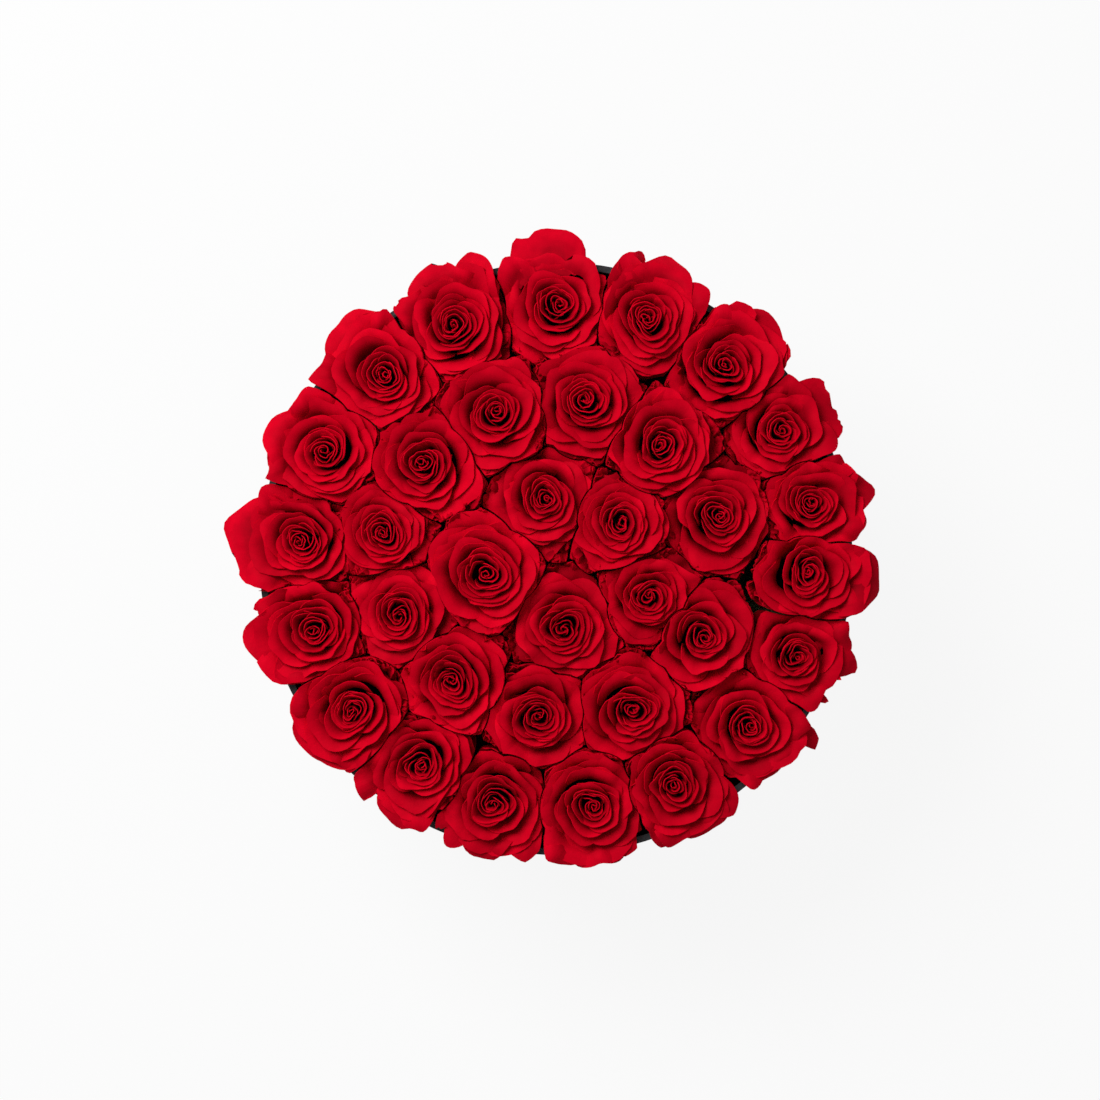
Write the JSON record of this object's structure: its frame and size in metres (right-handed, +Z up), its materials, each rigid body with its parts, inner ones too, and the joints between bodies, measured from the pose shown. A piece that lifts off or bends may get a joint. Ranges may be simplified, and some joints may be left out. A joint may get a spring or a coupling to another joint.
{
  "type": "flower box",
  "caption": "Round paper-covered hat box packed with upright roses, each on a stem that pulls out of a domed block of dry floral foam.",
  "frame": {"origin": "middle of the face that the box stands on", "axes": "+Z up along the box's axis; +X and +Y are right and up in the view from above"},
  "size_m": [0.3154, 0.3205, 0.1752],
  "materials": {
    "greyboard": "uncoated grey board",
    "black_paper": "matt black covering paper with a fine grain",
    "lining_paper": "smooth black lining paper",
    "dry_foam": "crumbly green dry floral foam",
    "rose": "velvety red petals on a green calyx and stem"
  },
  "bodies": {
    "box": {"wall_board": "greyboard", "wall_wrap": "black_paper", "wall_lining": "lining_paper", "base_board": "greyboard", "base_cover": "black_paper", "base_lining": "lining_paper", "floral_foam": "dry_foam"},
    "rim_rose_01": {"rim_rose_01": "rose"},
    "rim_rose_02": {"rim_rose_02": "rose"},
    "rim_rose_03": {"rim_rose_03": "rose"},
    "rim_rose_04": {"rim_rose_04": "rose"},
    "rim_rose_05": {"rim_rose_05": "rose"},
    "rim_rose_06": {"rim_rose_06": "rose"},
    "rim_rose_07": {"rim_rose_07": "rose"},
    "rim_rose_08": {"rim_rose_08": "rose"},
    "rim_rose_09": {"rim_rose_09": "rose"},
    "rim_rose_10": {"rim_rose_10": "rose"},
    "rim_rose_11": {"rim_rose_11": "rose"},
    "rim_rose_12": {"rim_rose_12": "rose"},
    "rim_rose_13": {"rim_rose_13": "rose"},
    "rim_rose_14": {"rim_rose_14": "rose"},
    "rim_rose_15": {"rim_rose_15": "rose"},
    "rim_rose_16": {"rim_rose_16": "rose"},
    "rim_rose_17": {"rim_rose_17": "rose"},
    "rim_rose_18": {"rim_rose_18": "rose"},
    "middle_rose_01": {"middle_rose_01": "rose"},
    "middle_rose_02": {"middle_rose_02": "rose"},
    "middle_rose_03": {"middle_rose_03": "rose"},
    "middle_rose_04": {"middle_rose_04": "rose"},
    "middle_rose_05": {"middle_rose_05": "rose"},
    "middle_rose_06": {"middle_rose_06": "rose"},
    "middle_rose_07": {"middle_rose_07": "rose"},
    "middle_rose_08": {"middle_rose_08": "rose"},
    "middle_rose_09": {"middle_rose_09": "rose"},
    "middle_rose_10": {"middle_rose_10": "rose"},
    "middle_rose_11": {"middle_rose_11": "rose"},
    "heart_rose_01": {"heart_rose_01": "rose"},
    "heart_rose_02": {"heart_rose_02": "rose"},
    "heart_rose_03": {"heart_rose_03": "rose"},
    "heart_rose_04": {"heart_rose_04": "rose"},
    "heart_rose_05": {"heart_rose_05": "rose"}
  },
  "joints": [
    {"name": "rim_rose_01_pull", "type": "slide", "parent": "box", "child": "rim_rose_01", "axis": [0, 0.1348, 0.9909], "range_m": [0, 0.11]},
    {"name": "rim_rose_02_pull", "type": "slide", "parent": "box", "child": "rim_rose_02", "axis": [0.0487, 0.1256, 0.9909], "range_m": [0, 0.11]},
    {"name": "rim_rose_03_pull", "type": "slide", "parent": "box", "child": "rim_rose_03", "axis": [0.0895, 0.1008, 0.9909], "range_m": [0, 0.11]},
    {"name": "rim_rose_04_pull", "type": "slide", "parent": "box", "child": "rim_rose_04", "axis": [0.1173, 0.0664, 0.9909], "range_m": [0, 0.11]},
    {"name": "rim_rose_05_pull", "type": "slide", "parent": "box", "child": "rim_rose_05", "axis": [0.1318, 0.028, 0.9909], "range_m": [0, 0.11]},
    {"name": "rim_rose_06_pull", "type": "slide", "parent": "box", "child": "rim_rose_06", "axis": [0.1341, -0.0129, 0.9909], "range_m": [0, 0.11]},
    {"name": "rim_rose_07_pull", "type": "slide", "parent": "box", "child": "rim_rose_07", "axis": [0.124, -0.0529, 0.9909], "range_m": [0, 0.11]},
    {"name": "rim_rose_08_pull", "type": "slide", "parent": "box", "child": "rim_rose_08", "axis": [0.1001, -0.0902, 0.9909], "range_m": [0, 0.11]},
    {"name": "rim_rose_09_pull", "type": "slide", "parent": "box", "child": "rim_rose_09", "axis": [0.0626, -0.1193, 0.9909], "range_m": [0, 0.11]},
    {"name": "rim_rose_10_pull", "type": "slide", "parent": "box", "child": "rim_rose_10", "axis": [0.0174, -0.1336, 0.9909], "range_m": [0, 0.11]},
    {"name": "rim_rose_11_pull", "type": "slide", "parent": "box", "child": "rim_rose_11", "axis": [-0.0312, -0.1311, 0.9909], "range_m": [0, 0.11]},
    {"name": "rim_rose_12_pull", "type": "slide", "parent": "box", "child": "rim_rose_12", "axis": [-0.0746, -0.1122, 0.9909], "range_m": [0, 0.11]},
    {"name": "rim_rose_13_pull", "type": "slide", "parent": "box", "child": "rim_rose_13", "axis": [-0.1087, -0.0796, 0.9909], "range_m": [0, 0.11]},
    {"name": "rim_rose_14_pull", "type": "slide", "parent": "box", "child": "rim_rose_14", "axis": [-0.1295, -0.0371, 0.9909], "range_m": [0, 0.11]},
    {"name": "rim_rose_15_pull", "type": "slide", "parent": "box", "child": "rim_rose_15", "axis": [-0.1344, 0.0101, 0.9909], "range_m": [0, 0.11]},
    {"name": "rim_rose_16_pull", "type": "slide", "parent": "box", "child": "rim_rose_16", "axis": [-0.1224, 0.0563, 0.9909], "range_m": [0, 0.11]},
    {"name": "rim_rose_17_pull", "type": "slide", "parent": "box", "child": "rim_rose_17", "axis": [-0.0929, 0.0976, 0.9909], "range_m": [0, 0.11]},
    {"name": "rim_rose_18_pull", "type": "slide", "parent": "box", "child": "rim_rose_18", "axis": [-0.0531, 0.1239, 0.9909], "range_m": [0, 0.11]},
    {"name": "middle_rose_01_pull", "type": "slide", "parent": "box", "child": "middle_rose_01", "axis": [-0.0314, 0.0817, 0.9962], "range_m": [0, 0.11]},
    {"name": "middle_rose_02_pull", "type": "slide", "parent": "box", "child": "middle_rose_02", "axis": [0.0174, 0.0857, 0.9962], "range_m": [0, 0.11]},
    {"name": "middle_rose_03_pull", "type": "slide", "parent": "box", "child": "middle_rose_03", "axis": [0.0601, 0.0636, 0.9962], "range_m": [0, 0.11]},
    {"name": "middle_rose_04_pull", "type": "slide", "parent": "box", "child": "middle_rose_04", "axis": [0.0845, 0.0225, 0.9962], "range_m": [0, 0.11]},
    {"name": "middle_rose_05_pull", "type": "slide", "parent": "box", "child": "middle_rose_05", "axis": [0.0819, -0.0417, 0.9958], "range_m": [0, 0.11]},
    {"name": "middle_rose_06_pull", "type": "slide", "parent": "box", "child": "middle_rose_06", "axis": [0.0388, -0.0784, 0.9962], "range_m": [0, 0.11]},
    {"name": "middle_rose_07_pull", "type": "slide", "parent": "box", "child": "middle_rose_07", "axis": [-0.0094, -0.087, 0.9962], "range_m": [0, 0.11]},
    {"name": "middle_rose_08_pull", "type": "slide", "parent": "box", "child": "middle_rose_08", "axis": [-0.0536, -0.0691, 0.9962], "range_m": [0, 0.11]},
    {"name": "middle_rose_09_pull", "type": "slide", "parent": "box", "child": "middle_rose_09", "axis": [-0.0818, -0.0311, 0.9962], "range_m": [0, 0.11]},
    {"name": "middle_rose_10_pull", "type": "slide", "parent": "box", "child": "middle_rose_10", "axis": [-0.0876, 0.0129, 0.9961], "range_m": [0, 0.11]},
    {"name": "middle_rose_11_pull", "type": "slide", "parent": "box", "child": "middle_rose_11", "axis": [-0.0693, 0.0534, 0.9962], "range_m": [0, 0.11]},
    {"name": "heart_rose_01_pull", "type": "slide", "parent": "box", "child": "heart_rose_01", "axis": [-0.0085, 0.0319, 0.9995], "range_m": [0, 0.11]},
    {"name": "heart_rose_02_pull", "type": "slide", "parent": "box", "child": "heart_rose_02", "axis": [0.0323, 0.021, 0.9993], "range_m": [0, 0.11]},
    {"name": "heart_rose_03_pull", "type": "slide", "parent": "box", "child": "heart_rose_03", "axis": [0.0466, -0.0188, 0.9987], "range_m": [0, 0.11]},
    {"name": "heart_rose_04_pull", "type": "slide", "parent": "box", "child": "heart_rose_04", "axis": [0.004, -0.0378, 0.9993], "range_m": [0, 0.11]},
    {"name": "heart_rose_05_pull", "type": "slide", "parent": "box", "child": "heart_rose_05", "axis": [-0.0382, -0.0081, 0.9992], "range_m": [0, 0.11]}
  ]
}
